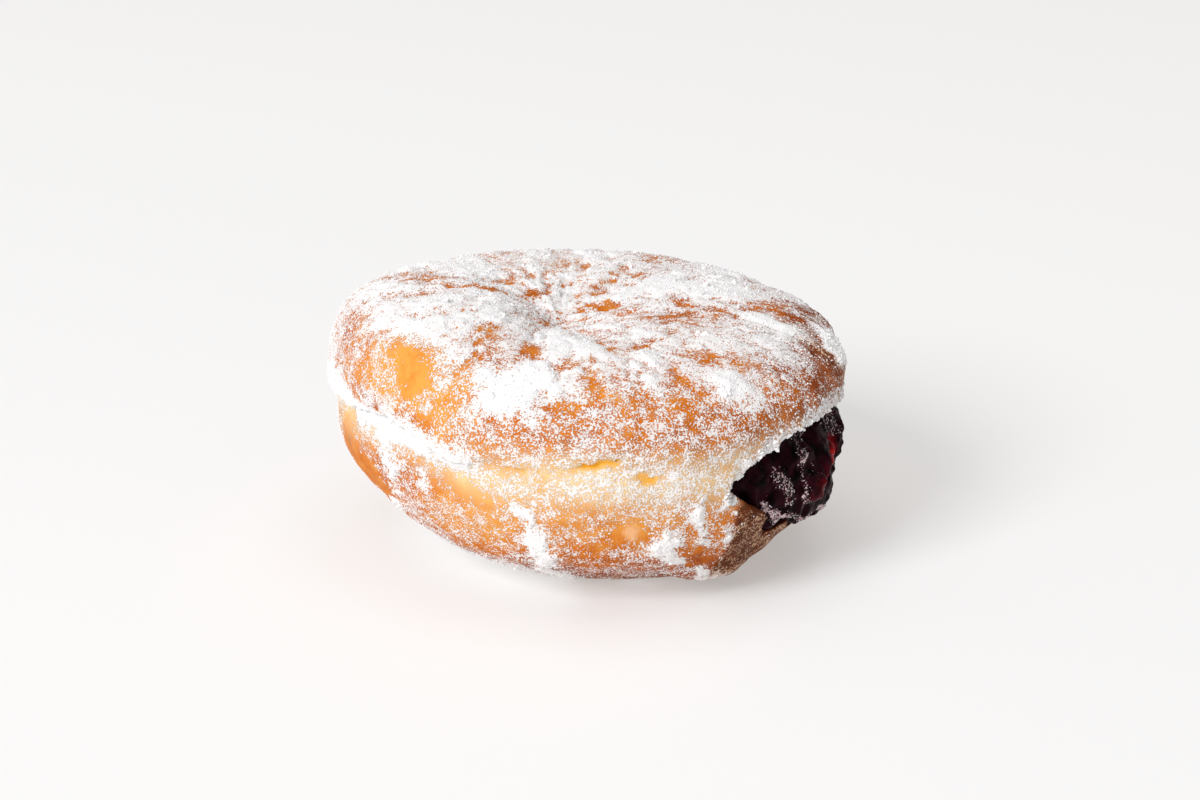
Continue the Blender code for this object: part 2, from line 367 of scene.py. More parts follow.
# The dented skin under the mouth, painted dark: partly a browner crust, partly painted shade under the
# jam
flankPlan = {
    "front": (32.6, 35.2),
    "behind": (106.0, 96.0),
    "top": (22.5 * mm, 20.0 * mm),
}

behindFade = (178.0, 125.0)  # what belongs to one side fades out here, behind

# Wrinkles and rubbed streaks run out from the hollow in the top
streakPlan = {
    "centre": (-5.5 * mm, -4.0 * mm),
    "core": 1.0 * mm,
    "around": 5.5,  # lumps for each radian
    "length": 13.0 * mm,
    "line": 0.10,  # a wrinkle's bare line lies where the noise is within this of 0
    "groove": 0.20,
    "rubbedSeed": 13,
    "wrinkleSeed": 17,
}


def bearingOf(points):
    # degrees round the doughnut, from 0 at the front through 90 at the right
    return np.degrees(np.arctan2(points[:, 0], -points[:, 1]))


def turnFrom(bearing, centre):
    return (bearing - centre + 180.0) % 360.0 - 180.0


def rightShare(bearing, start, full):
    # grows from the front to the right, and fades again behind
    return smoothStep(start, full, bearing) * smoothStep(*behindFade, bearing)


def leftShare(bearing, start, full):
    return rightShare(-bearing, -start, -full)


def creaseHeight(bearing):
    away = turnFrom(bearing, creasePlan["ledgeBearing"])
    front, behind = creasePlan["ledgeSpread"]
    ledge = hill(away / np.where(away > 0.0, front, behind))
    count, height, phase = creasePlan["waves"]
    wave = height * np.sin(np.radians(count * (bearing - phase)))
    return creasePlan["height"] + creasePlan["ledgeClimb"] * ledge + wave


# Where the sugar lies thick or is rubbed away. Each stroke has its start and end in mm,
# its half width in mm, and how much it adds to the cover.
sugarStrokes = (
    # rubbed streaks and wedges on the top
    ((-21.5, -1.9, 50.7), (-16.4, -3.5, 49.8), 1.5, -0.48),
    ((-15.5, -2.7, 49.4), (-11.2, 3.8, 47.2), 1.0, -0.35),
    ((-11.2, 3.8, 47.2), (-4.8, 12.2, 46.5), 1.2, -0.41),
    ((-19.3, 5.8, 48.8), (-14.3, 10.7, 48.0), 1.5, -0.35),
    ((-12.2, 16.3, 47.8), (-7.3, 16.1, 47.3), 1.4, -0.31),
    ((-26.0, -1.7, 51.0), (-25.5, -3.0, 51.0), 1.4, -0.35),
    ((-43.0, 9.9, 46.9), (-37.4, 6.5, 49.6), 1.4, -0.27),
    ((-31.4, 15.6, 48.4), (-25.2, 16.1, 48.5), 1.4, -0.23),
    ((-33.6, -16.8, 50.5), (-20.5, -19.2, 50.6), 3.0, -0.20),
    ((-24.0, -27.0, 49.0), (-12.0, -29.0, 48.0), 4.2, -0.15),
    ((-20.4, -23.4, 49.9), (-16.8, -22.5, 49.4), 1.6, -0.23),
    ((-0.9, 0.0, 44.9), (4.5, 2.5, 45.7), 1.3, -0.66),
    ((1.5, 6.9, 45.8), (2.5, 8.5, 46.0), 1.6, -0.27),
    ((-8.5, -8.0, 45.0), (-3.0, -5.0, 44.0), 3.0, -0.20),
    ((16.0, 5.0, 46.5), (17.5, 2.0, 46.5), 2.6, -0.39),
    ((4.2, 16.4, 47.0), (7.9, 22.8, 46.8), 1.4, -0.39),
    ((6.3, 16.9, 46.8), (10.8, 17.5, 46.6), 1.0, -0.35),
    ((9.7, -7.6, 46.1), (18.7, -5.0, 46.2), 1.4, -0.30),
    ((1.5, -29.1, 47.1), (14.1, -21.0, 46.6), 0.8, -0.39),
    ((0.8, -21.0, 46.2), (4.4, -23.4, 46.6), 1.6, -0.31),
    ((-5.2, -36.1, 46.7), (-0.4, -34.2, 46.7), 1.7, -0.39),
    ((21.1, -28.9, 45.3), (26.4, -28.1, 44.6), 2.2, -0.33),
    ((31.1, 1.3, 45.3), (42.4, 2.2, 42.0), 2.4, -0.30),
    ((42.9, 1.0, 41.0), (43.6, -15.0, 40.0), 1.2, -0.25),
    ((43.0, -17.0, 39.8), (39.4, -26.5, 39.6), 1.3, -0.20),
    # thick sugar on the top
    ((28.8, -4.6, 45.5), (37.2, -8.8, 43.7), 3.6, 0.30),
    ((-33.5, -24.1, 49.5), (-16.4, -18.0, 49.6), 1.8, 0.45),
    ((-8.0, -24.0, 47.0), (10.0, -33.0, 46.5), 2.6, 0.16),
    ((6.0, 6.0, 46.0), (26.0, 12.0, 46.0), 5.0, 0.30),
    ((20.0, 2.0, 46.0), (29.0, 9.0, 45.5), 4.5, 0.12),
    ((-31.0, -3.0, 50.5), (-24.0, -3.0, 50.5), 4.0, 0.06),
    # the bare golden patch and the thick cake beside it
    ((-32.8, -31.2, 47.0), (-31.4, -35.0, 44.0), 3.1, -0.60),
    ((-31.5, -36.0, 42.5), (-26.0, -40.0, 39.0), 3.6, -0.12),
    ((-41.0, -25.0, 42.5), (-34.5, -33.5, 41.0), 3.0, -0.10),
    ((-28.0, -28.5, 49.0), (-24.5, -35.5, 46.5), 3.0, -0.20),
    ((-15.5, -41.8, 44.2), (-9.5, -39.5, 45.8), 4.4, 1.0),
    ((-11.0, -44.5, 42.5), (-9.0, -44.8, 41.5), 2.2, 0.35),
    # the upper half's front and right
    ((16.4, -42.6, 41.1), (18.5, -44.1, 37.7), 1.6, -0.20),
    ((-3.0, -46.0, 38.0), (12.0, -45.5, 38.0), 4.5, -0.02),
    ((10.0, -44.5, 40.0), (28.0, -38.0, 38.0), 6.0, -0.04),
    ((24.2, -35.4, 42.8), (28.8, -36.4, 40.5), 3.0, 0.30),
    ((46.5, -8.0, 39.5), (45.8, 0.0, 42.0), 3.6, 0.75),
    ((-47.5, -8.0, 39.5), (-45.5, 3.0, 45.5), 4.5, 0.17),
    # the upper half's bare lower rim at the left, and the white ledge under it
    ((-43.6, -20.5, 37.8), (-39.0, -28.6, 37.3), 1.5, -0.42),
    ((-39.0, -28.6, 37.3), (-29.1, -38.3, 36.2), 1.4, -0.42),
    ((-47.5, -5.0, 34.5), (-42.5, -18.5, 33.5), 2.2, 0.8),
    ((-42.5, -18.5, 33.5), (-35.5, -28.5, 32.0), 2.6, 0.8),
    ((-35.5, -28.5, 32.0), (-23.0, -40.2, 30.8), 1.9, 0.65),
    # the lower half
    ((-41.5, -22.0, 26.8), (-38.5, -26.5, 26.6), 1.9, -0.20),
    ((-32.5, -33.5, 26.6), (-22.0, -40.5, 25.6), 2.1, -0.24),
    ((-44.8, -15.5, 26.0), (-38.6, -22.0, 18.0), 3.8, -0.75),
    ((-31.0, -30.0, 14.0), (-17.0, -40.0, 16.0), 4.0, 0.03),
    ((-22.6, -40.3, 24.1), (-17.7, -42.8, 23.7), 1.7, -0.45),
    ((-35.7, -30.1, 27.1), (-35.0, -21.5, 13.5), 1.4, 0.80),
    ((-29.8, -35.5, 26.6), (-29.5, -35.0, 24.5), 1.3, 0.4),
    ((-12.7, -44.8, 24.5), (-9.9, -42.2, 15.2), 1.4, 0.65),
    ((-9.9, -42.2, 15.2), (-5.0, -31.0, 3.5), 2.2, 0.7),
    ((1.0, -45.5, 21.0), (4.0, -43.5, 15.0), 4.0, -0.06),
    ((12.6, -43.2, 15.2), (16.0, -39.5, 10.8), 2.2, 0.7),
    ((19.4, -43.0, 22.5), (21.9, -39.9, 14.6), 1.5, 0.5),
    ((24.6, -40.8, 22.5), (25.2, -38.0, 13.5), 1.0, 0.55),
    ((17.5, -40.5, 12.0), (23.0, -34.0, 6.0), 2.2, -0.30),
    ((21.5, -34.5, 6.0), (25.0, -29.5, 2.5), 2.2, 0.6),
    ((7.4, -45.0, 18.8), (7.6, -45.0, 18.4), 2.4, -0.8),
)

# Where the crease gapes and shows the yellow crumb
slitStrokes = (
    ((-14.2, -44.1, 30.3), (-8.0, -45.7, 29.9), 0.35, 0.7),
    ((-3.4, -47.0, 30.9), (0.1, -47.4, 31.7), 0.45, 1.0),
    ((0.1, -47.4, 31.7), (4.9, -47.5, 32.4), 0.75, 1.1),
    ((9.2, -46.5, 29.3), (11.0, -46.2, 28.4), 0.85, 0.9),
)

# The swell of the side under the mouth, in mm
doughBumps = (
    ((20.0, -34.5, 3.5), (30.0, -24.5, 6.0), 5.0, 1.8),
)

# The blister's pale spot: partly its paler skin, partly a painted highlight
blisterPlan = {
    "at": (7.6, -45.2, 17.9),
    "radius": 2.0,
    "rag": (2.0 * mm, 0.5 * mm),
    "edge": (1.2, 0.5),  # in radii
}


def streaksOn(points, seed):
    # noise drawn out along the ways that lead from the hollow in the top
    x = points[:, 0] - streakPlan["centre"][0]
    y = points[:, 1] - streakPlan["centre"][1]
    away = np.maximum(np.hypot(x, y), streakPlan["core"])
    around = streakPlan["around"]
    bent = np.stack((x / away * around, y / away * around, away / streakPlan["length"]), axis=1)
    return fractalNoise(bent, 1.0, seed, octaves=3, fade=0.6)


def innerShare(points, normals):
    # how far a point is inside the mouth, whose skin faces inwards
    radius = np.maximum(np.hypot(points[:, 0], points[:, 1]), mouthPlan["core"])
    facing = (points[:, 0] * normals[:, 0] + points[:, 1] * normals[:, 1]) / radius
    low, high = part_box("jam")
    above = points[:, 2] > low.z - mouthPlan["margin"]
    below = points[:, 2] < high.z + mouthPlan["margin"]
    share = np.where(above & below, smoothStep(*mouthPlan["inward"], facing), 0.0)
    return share * smoothStep(*mouthPlan["level"], normals[:, 2])


def lipShare(points, bearing):
    # the rim over the mouth, from 0 beyond its crust to 1 at the edge
    power = mouthPlan["roundness"]
    across = turnFrom(bearing, mouthPlan["bearing"]) / mouthPlan["halfSpan"]
    arch = np.maximum(1.0 - np.abs(across) ** power, 0.0) ** (1.0 / power)
    above = points[:, 2] - mouthPlan["height"] - mouthPlan["slope"] * across - mouthPlan["rise"] * arch
    perDegree = math.radians(1.0) * mouthPlan["radius"]
    beyond = np.maximum(np.abs(across) - 1.0, 0.0) * mouthPlan["halfSpan"] * perDegree
    size, reach = mouthPlan["rag"]
    away = np.hypot(beyond, np.maximum(above, 0.0)) + reach * fractalNoise(points, size, seed=93)
    return smoothStep(*mouthPlan["crust"], away) * smoothStep(*mouthPlan["below"], above)


def flankShare(points, bearing):
    across = smoothStep(*flankPlan["front"], bearing) * smoothStep(*flankPlan["behind"], bearing)
    return across * smoothStep(*flankPlan["top"], points[:, 2])


# How dark the skin is, from 0 golden to 1 dark brown; under the mouth this holds painted shade as well
browningPlan = {
    "base": 0.38,
    "top": -0.06,
    "topFacing": (0.45, 0.9),
    "patches": (11.0 * mm, 0.09),  # size and change
    "mottles": (3.0 * mm, 0.06),
    "right": 0.10,
    "rightShoulder": 0.26,
    "rightFrom": (20.0, 70.0),
    "shoulder": ((28.0 * mm, 38.0 * mm), (45.5 * mm, 42.0 * mm)),
    "foot": 0.42,
    "footFrom": (14.0 * mm, 2.0 * mm),
    "belly": -0.18,
    "bellyAt": (19.0 * mm, 7.0 * mm),
    # under the mouth: partly a browner crust, partly painted shade under the jam
    "flank": 0.75,
    "lowRight": 0.14,
    "lowRightFrom": (14.0, 30.0),
    "lowRightHeight": (25.0 * mm, 20.0 * mm),
}

browningStrokes = (
    ((-33.5, -32.4, 45.5), (-29.0, -37.5, 42.5), 9.0, -0.40),  # round the golden patch
    ((-41.0, -25.0, 37.2), (-29.1, -38.3, 36.0), 1.9, 0.30),  # the rim over the ledge
    ((-42.5, -20.0, 43.5), (-37.5, -29.0, 41.5), 6.5, -0.2),
    ((-44.5, -16.0, 25.0), (-31.0, -33.0, 20.0), 5.0, 0.13),  # under the ledge
    ((-31.0, -35.0, 19.0), (-20.0, -41.0, 19.0), 5.0, -0.12),
    ((-47.5, -8.0, 40.0), (-45.5, 3.0, 45.0), 6.0, -0.18),  # the far left edge
)

# The pale waist, along the crease and below it
waistPlan = {
    "below": (2.6 * mm, 4.6 * mm),  # place and half width
    "above": (-2.0 * mm, 2.5 * mm),
    "aboveShare": 0.35,
    "aboveUpTo": (-18.0, -38.0),
    "ledge": (-22.0, -32.0),
    "ledgeTop": (1.0 * mm, -0.5 * mm),
    "patches": (9.0 * mm, 0.85, 0.25),  # size, middle and change
}


def tintDough(points, normals, bearing):
    # shares of browning and of pale waist at each point
    plan = browningPlan
    height = points[:, 2]
    browning = plan["base"] + plan["top"] * smoothStep(*plan["topFacing"], normals[:, 2])
    for name, seed in (("patches", 21), ("mottles", 25)):
        size, change = plan[name]
        browning += change * fractalNoise(points, size, seed)
    shoulder = smoothStep(*plan["shoulder"][0], height) * smoothStep(*plan["shoulder"][1], height)
    right = rightShare(bearing, *plan["rightFrom"])
    browning += (plan["right"] + plan["rightShoulder"] * shoulder) * right
    browning += plan["foot"] * smoothStep(*plan["footFrom"], height)
    middle, halfWidth = plan["bellyAt"]
    browning += plan["belly"] * hill((height - middle) / halfWidth)
    flank = flankShare(points, bearing)
    lowRight = rightShare(bearing, *plan["lowRightFrom"]) * smoothStep(*plan["lowRightHeight"], height)
    browning += plan["flank"] * flank + plan["lowRight"] * lowRight
    browning += strokeCover(points, browningStrokes)

    plan = waistPlan
    below = creaseHeight(bearing) - height
    middle, halfWidth = plan["below"]
    waist = hill((below - middle) / halfWidth)
    middle, halfWidth = plan["above"]
    shown = plan["aboveShare"] * (1.0 - leftShare(bearing, *plan["aboveUpTo"]))
    waist += shown * hill((below - middle) / halfWidth)
    waist *= 1.0 - flank
    waist *= 1.0 - leftShare(bearing, *plan["ledge"]) * smoothStep(*plan["ledgeTop"], below)
    size, middle, change = plan["patches"]
    waist *= middle + change * fractalNoise(points, size, seed=31)
    return browning, waist


def ledgeShare(points, bearing):
    # the crease at the left, which lies full of sugar
    plan = creasePlan
    left = smoothStep(*plan["ledgeFront"], bearing) * smoothStep(*plan["ledgeBehind"], bearing)
    middle, halfWidth = plan["ledgeBand"]
    return left * hill((points[:, 2] - creaseHeight(bearing) - middle) / halfWidth)


# How much sugar covers the skin: above about 0.7 it cakes
coverPlan = {
    "base": 0.58,
    "top": 0.28,
    "topFacing": (0.65, 0.97),
    "flank": -0.17,
    "right": -0.17,
    "rightFrom": (28.0, 60.0),
    "rightTo": (130.0, 100.0),
    "rightHeight": (28.0 * mm, 34.0 * mm),
    "frontSlope": -0.12,
    "frontY": (-23.0 * mm, -31.0 * mm),
    "frontX": (-27.0 * mm, -20.0 * mm),
    "frontHeight": (40.0 * mm, 43.5 * mm),
    "lowerHalf": -0.11,
    "lowerFrom": (27.0 * mm, 23.0 * mm),
    "foot": 0.10,
    "footLeft": 0.20,
    "footLeftFrom": (10.0, -20.0),
    "footHeight": (4.0 * mm, 0.5 * mm),
    "lowLeft": 0.35,
    "lowLeftFrom": (0.0, -25.0),
    "lowLeftHeight": (11.0 * mm, 4.5 * mm),
    "patches": (8.0 * mm, 0.07),  # size and change
    "mottles": (2.2 * mm, 0.09),
    "rubbed": 0.20,
    "lines": -0.30,
    "rag": ((4.0 * mm, 1.3 * mm), (1.2 * mm, 0.6 * mm)),  # of the strokes' edges
    "lip": 0.30,
    "ledge": 0.5,
}


def sugarCover(points, normals, bearing, lip):
    plan = coverPlan
    height = points[:, 2]
    flank = flankShare(points, bearing)
    upness = smoothStep(*plan["topFacing"], normals[:, 2])
    cover = plan["base"] + plan["top"] * upness + plan["flank"] * flank
    right = smoothStep(*plan["rightFrom"], bearing) * smoothStep(*plan["rightTo"], bearing)
    cover += plan["right"] * right * smoothStep(*plan["rightHeight"], height)
    front = smoothStep(*plan["frontY"], points[:, 1]) * smoothStep(*plan["frontX"], points[:, 0])
    cover += plan["frontSlope"] * front * smoothStep(*plan["frontHeight"], height)
    cover += plan["lowerHalf"] * smoothStep(*plan["lowerFrom"], height) * (1.0 - flank)
    foot = plan["foot"] + plan["footLeft"] * leftShare(bearing, *plan["footLeftFrom"])
    cover += foot * smoothStep(*plan["footHeight"], height)
    lowLeft = leftShare(bearing, *plan["lowLeftFrom"]) * smoothStep(*plan["lowLeftHeight"], height)
    cover += plan["lowLeft"] * lowLeft
    for name, seed in (("patches", 5), ("mottles", 9)):
        size, change = plan[name]
        cover += change * fractalNoise(points, size, seed)
    rubbed = streaksOn(points, streakPlan["rubbedSeed"])
    lines = hill(streaksOn(points, streakPlan["wrinkleSeed"]) / streakPlan["line"])
    cover += upness * (plan["rubbed"] * rubbed + plan["lines"] * lines)
    ragged = points
    for (size, reach), seed in zip(plan["rag"], (101, 151)):
        ragged = warped(ragged, size, reach, seed)
    cover += strokeCover(ragged, sugarStrokes)
    return cover + plan["lip"] * lip + plan["ledge"] * ledgeShare(points, bearing)


def slitShare(points):
    size, reach = doughPlan["slitRag"]
    slit = strokeCover(warped(points, size, reach, seed=61), slitStrokes)
    size, change = doughPlan["slitCrumb"]
    return np.clip(slit + change * slit * fractalNoise(points, size, seed=63), 0.0, 1.0)


def blisterShare(points):
    size, reach = blisterPlan["rag"]
    ragged = warped(points, size, reach, seed=301)
    away = np.linalg.norm(ragged - np.array(blisterPlan["at"]) * mm, axis=1)
    return smoothStep(*blisterPlan["edge"], away / (blisterPlan["radius"] * mm))


def doughLift(points, normals, bearing, cover, lip, slit):
    # how far the skin is moved outwards
    plan = doughPlan
    lift = np.zeros(len(points))
    for name, seed in (("lump", 41), ("pucker", 47)):
        size, tall = plan[name]
        lift += tall * fractalNoise(points, size, seed)
    size, tall = plan["cakeLump"]
    cake = smoothStep(*plan["cakeFrom"], cover)
    lift += cake * (plan["cakeHeight"] + tall * fractalNoise(points, size, seed=53, octaves=2))
    size, tall = plan["lipRag"]
    lift += lip * tall * fractalNoise(points, size, seed=57, octaves=2)
    upness = smoothStep(*plan["wrinkleFacing"], normals[:, 2])
    wrinkle = hill(streaksOn(points, streakPlan["wrinkleSeed"]) / streakPlan["groove"])
    lift -= upness * plan["wrinkleDepth"] * wrinkle
    lift += plan["ledgeFill"] * ledgeShare(points, bearing) - plan["slitDepth"] * slit
    return lift + strokeCover(points, doughBumps) * mm


# What the crust and the loose sugar read from the skin
paintPlan = {
    "topFacing": (0.75, 0.97),
    "lampWay": (-0.57, -0.57, 0.60),
    "lampFacing": (0.80, 0.45),  # painted shade: sugar that faces the lamp is painted darker, except on the top
    "bareSlit": 0.9,
    # the flank's upward faces under the jam lose their sugar, so that the painted shade there shows
    "bareFlank": 0.8,
    "flankFacing": (0.1, 0.5),
    "looseFrom": (0.2 * mm, 0.8 * mm),  # the height above the floor
    "lessOnFlank": 0.85,
    "lessOnTop": 0.5,
    "clump": 1.6 * mm,
    "loose": {  # the cover from which it lies, the cover where it is full, and its unevenness
        "dustShare": (0.20, 0.75, 0.15),
        "grainShare": (0.35, 0.85, 0.25),
        "crumbShare": (0.80, 1.25, 0.30),
    },
}


def shapeDough(piece):
    points, normals = surfaceOf(piece)
    bearing = bearingOf(points)
    height = points[:, 2]
    inner = innerShare(points, normals)
    rim = lipShare(points, bearing)
    lip = rim * (1.0 - inner)
    browning, waist = tintDough(points, normals, bearing)
    cover = sugarCover(points, normals, bearing, lip)
    slit = slitShare(points)
    lift = doughLift(points, normals, bearing, cover, lip, slit)
    lift *= smoothStep(0.0, doughPlan["footRise"], height) * (1.0 - inner)
    moved = points + normals * lift[:, None]
    moved[:, 2] -= doughPlan["lipHang"] * rim
    moved[:, 2] = np.maximum(moved[:, 2], 0.0)
    moveTo(piece, moved)

    plan = paintPlan
    up = smoothStep(*plan["topFacing"], normals[:, 2])
    flank = flankShare(points, bearing)
    bareFlank = flank * smoothStep(*plan["flankFacing"], normals[:, 2])
    bare = plan["bareSlit"] * slit + plan["bareFlank"] * bareFlank
    cover = (cover - bare) * (1.0 - inner)
    shares = {
        "sugar": cover,
        "browning": browning,
        "waist": waist,
        # painted shade: full white on the top and away from the lamp, darker where the sugar faces the
        # lamp
        "bright": np.maximum(up, smoothStep(*plan["lampFacing"], normals @ plan["lampWay"])),
        "blister": blisterShare(points),
        "inner": inner,
        "slit": slit,
        "lipShare": lip,
    }
    outside = (1.0 - inner) * smoothStep(*plan["looseFrom"], height)
    outside *= (1.0 - plan["lessOnFlank"] * flank) * (1.0 - plan["lessOnTop"] * up)
    grainy = fractalNoise(points, plan["clump"], seed=67)
    for name, (start, full, unevenness) in plan["loose"].items():
        shares[name] = outside * smoothStep(start, full, cover + unevenness * grainy)
    for name, share in shares.items():
        paintShare(piece, name, share)


crustColours = {
    "browning": (
        (0.0, (0.82, 0.335, 0.060)),
        (0.35, (0.64, 0.170, 0.012)),
        (0.65, (0.34, 0.067, 0.008)),
        (1.0, (0.105, 0.023, 0.006)),
    ),
    "waist": (0.94, 0.67, 0.33, 1.0),
    # partly the blister's paler skin, partly a painted highlight
    "blister": (0.88, 0.46, 0.22, 1.0),
    "slit": (0.93, 0.42, 0.030, 1.0),
    "inner": (0.40, 0.18, 0.06, 1.0),
    "veil": (0.90, 0.84, 0.83, 1.0),
    "sugarPaintedDarkAtLamp": (0.82, 0.81, 0.80, 1.0),  # painted shade, where it faces the lamp
    "sugar": (0.92, 0.90, 0.89, 1.0),
    "dampSugar": (0.76, 0.47, 0.30, 1.0),
}

# Where a setting has four values, a range from the first to the second becomes the last two
crustPlan = {
    "fine": 0.36 * mm,
    "clumped": 1.5 * mm,
    "patchy": 2.6 * mm,
    "mottling": (0.3, 0.7, -0.13, 0.13),
    "paleWaist": (0.25, 0.6, 0.6, 1.0),
    "veil": (0.5, 1.0, 0.0, 0.24),
    "fineShare": 0.7,
    "threshold": (0.0, 1.0, 0.68, 0.36),  # specks close up as the cover grows
    "speckEdge": 0.012,
    "opaque": (0.45, 0.95, 0.84, 1.0),
    "dampBrowning": (0.65, 0.85),
    "dampCover": (0.9, 0.5),
    "roughness": (0.0, 1.0, 0.5, 0.95),  # of bare skin and of sugar
    "specular": 0.06,
    "speckHeight": 0.8,
    "bump": {"Strength": 0.8, "Distance": 0.25 * mm},
}


def doughMaterial():
    plan, colours = crustPlan, crustColours
    material, tree, shader = newMaterial("sugaredCrust")
    coords = addNode(tree, "ShaderNodeTexCoord").outputs["Object"]
    sugar = shareOf(tree, "sugar")
    fine = noiseOf(tree, coords, plan["fine"], detail=2.0, roughness=0.65)
    clumped = noiseOf(tree, coords, plan["clumped"], detail=2.0, roughness=0.5)
    patchy = noiseOf(tree, coords, plan["patchy"], detail=3.0, roughness=0.6)
    # fried skin: golden through orange to brown, paler at the waist, darker with the painted shade
    # under the mouth
    mottled = rangeOf(tree, patchy, *plan["mottling"])
    browning = mathOf(tree, "ADD", shareOf(tree, "browning"), mottled)
    skin = rampOf(tree, browning, colours["browning"])
    waist = mathOf(tree, "MULTIPLY", shareOf(tree, "waist"), rangeOf(tree, patchy, *plan["paleWaist"]))
    skin = mixOf(tree, waist, skin, colours["waist"])
    for name in ("blister", "slit", "inner"):
        skin = mixOf(tree, shareOf(tree, name), skin, colours[name])
    # sugar: a thin veil, and specks that close up as the cover grows
    dusted = mixOf(tree, rangeOf(tree, sugar, *plan["veil"]), skin, colours["veil"])
    fineLevel = mathOf(tree, "MULTIPLY", fine, plan["fineShare"])
    clumpedLevel = mathOf(tree, "MULTIPLY", clumped, 1.0 - plan["fineShare"])
    level = mathOf(tree, "ADD", fineLevel, clumpedLevel)
    over = mathOf(tree, "SUBTRACT", level, rangeOf(tree, sugar, *plan["threshold"]))
    grains = rangeOf(tree, over, -plan["speckEdge"], plan["speckEdge"])
    opaque = mathOf(tree, "MULTIPLY", grains, rangeOf(tree, sugar, *plan["opaque"]))
    # painted shade: sugar that faces the lamp is painted darker than the rest
    white = mixOf(tree, shareOf(tree, "bright"), colours["sugarPaintedDarkAtLamp"], colours["sugar"])
    dampSkin = rangeOf(tree, browning, *plan["dampBrowning"])
    damp = mathOf(tree, "MULTIPLY", dampSkin, rangeOf(tree, sugar, *plan["dampCover"]))
    white = mixOf(tree, damp, white, colours["dampSugar"])
    colour = mixOf(tree, opaque, dusted, white)
    tree.links.new(colour, shader.inputs["Base Color"])
    tree.links.new(rangeOf(tree, grains, *plan["roughness"]), shader.inputs["Roughness"])
    shader.inputs["Specular IOR Level"].default_value = plan["specular"]
    height = mathOf(tree, "ADD", mathOf(tree, "MULTIPLY", grains, plan["speckHeight"]), fine)
    bump = addNode(tree, "ShaderNodeBump", {**plan["bump"], "Height": height})
    tree.links.new(bump.outputs["Normal"], shader.inputs["Normal"])
    return material


# The raspberry jam

jamPlan = {
    "voxel": 0.40 * mm,
    "softTurns": 6,
    "shows": (36.0 * mm, 41.0 * mm),  # how far from the middle it starts to be shaped
    "knob": (3.0 * mm, 0.50 * mm),  # size and height
    "fold": (2.0 * mm, 0.35 * mm),
    "crinkle": (1.2 * mm, 0.20 * mm),
    "stretch": (1.0, 1.0, 0.35),  # draws folds and dust out upwards
    "rag": (1.6 * mm, 0.7 * mm),
    "dust": 0.01,
    "dustPatches": (2.2 * mm, 0.10),  # size and change
    "dustBehind": 0.25,
    "behind": (-15.0 * mm, 10.0 * mm),
    "thinPatches": (1.5 * mm, 0.75, 0.55),  # size, middle and change
    "loose": (0.25, 0.9),
}

jamColours = {
    "dark": (0.002, 0.0005, 0.0006, 1.0),
    "lessDark": (0.024, 0.0030, 0.007, 1.0),
    "thin": (0.66, 0.009, 0.012, 1.0),
    "veil": (0.38, 0.22, 0.24, 1.0),
    "sugar": (0.62, 0.43, 0.45, 1.0),
}

jamGloss = {
    "fine": 0.42 * mm,
    "wide": 2.4 * mm,
    "darkness": (0.35, 0.65),
    "threshold": (0.0, 1.0, 0.78, 0.42),
    "speckEdge": (-0.02, 0.04),
    "veil": (0.3, 1.0, 0.0, 0.10),
    "roughness": (0.0, 1.0, 0.32, 0.9),  # of bare jam and of sugar
    "specular": 0.03,
    "bump": {"Strength": 0.6, "Distance": 0.15 * mm},
}

# Thin lumps at the right, where light comes through the jam
thinJam = (
    ((45.8, -15.4, 23.2), (45.0, -18.6, 22.6), 1.7, 1.2),
    ((43.8, -22.2, 21.0), (43.1, -25.3, 19.7), 1.6, 0.13),
    ((43.4, -24.9, 18.6), (41.5, -26.4, 17.2), 1.8, 0.15),
)

# Sugar on the jam
jamStrokes = (
    ((34.2, -30.5, 23.9), (35.7, -30.4, 21.5), 2.0, 0.6),
    ((36.2, -30.6, 18.9), (37.5, -29.8, 18.2), 1.0, 0.6),
    ((37.3, -21.8, 30.1), (37.8, -28.0, 26.0), 0.7, 0.5),
    ((38.8, -18.3, 30.4), (38.9, -27.1, 25.3), 0.9, 0.66),
    ((38.9, -27.1, 25.3), (39.7, -28.2, 17.5), 1.0, 0.54),
    ((40.4, -24.5, 25.9), (41.4, -26.5, 21.5), 0.7, 0.5),
    ((42.0, -13.8, 30.8), (45.9, -13.3, 27.2), 3.0, 0.48),
    ((31.7, -32.8, 18.6), (34.0, -31.3, 16.2), 0.9, 1.0),
    ((34.0, -31.3, 16.2), (37.0, -25.5, 13.2), 1.0, 1.0),
    ((37.0, -25.5, 13.2), (40.8, -20.5, 11.8), 1.0, 1.0),
    ((40.8, -20.5, 11.8), (44.4, -13.2, 10.8), 1.2, 0.9),
    ((35.0, -30.2, 15.8), (41.5, -26.0, 14.8), 1.1, 0.8),
    ((40.8, -26.7, 16.5), (43.4, -24.0, 16.5), 0.8, 0.7),
    ((43.0, -17.0, 27.5), (43.5, -22.0, 22.0), 1.6, 0.25),
)

# Folds and hollows, each in mm of height
jamBumps = (
    ((38.2, -27.6, 28.0), (40.2, -28.4, 19.5), 0.9, 0.6),
    ((41.4, -22.5, 28.5), (42.6, -25.5, 20.5), 0.8, 0.6),
    ((44.6, -17.5, 29.0), (45.4, -18.5, 20.0), 1.1, 0.7),
    ((37.0, -30.4, 20.0), (38.5, -27.0, 13.5), 1.1, 0.5),
    ((46.8, -12.0, 27.5), (46.3, -15.0, 26.0), 2.2, -0.6),
    ((46.3, -17.5, 21.5), (45.0, -21.5, 19.0), 2.0, -1.8),
    ((44.5, -22.5, 16.0), (41.0, -26.5, 15.0), 2.2, -1.2),
    ((35.5, -29.0, 12.5), (38.5, -25.5, 12.0), 2.0, -1.1),
)


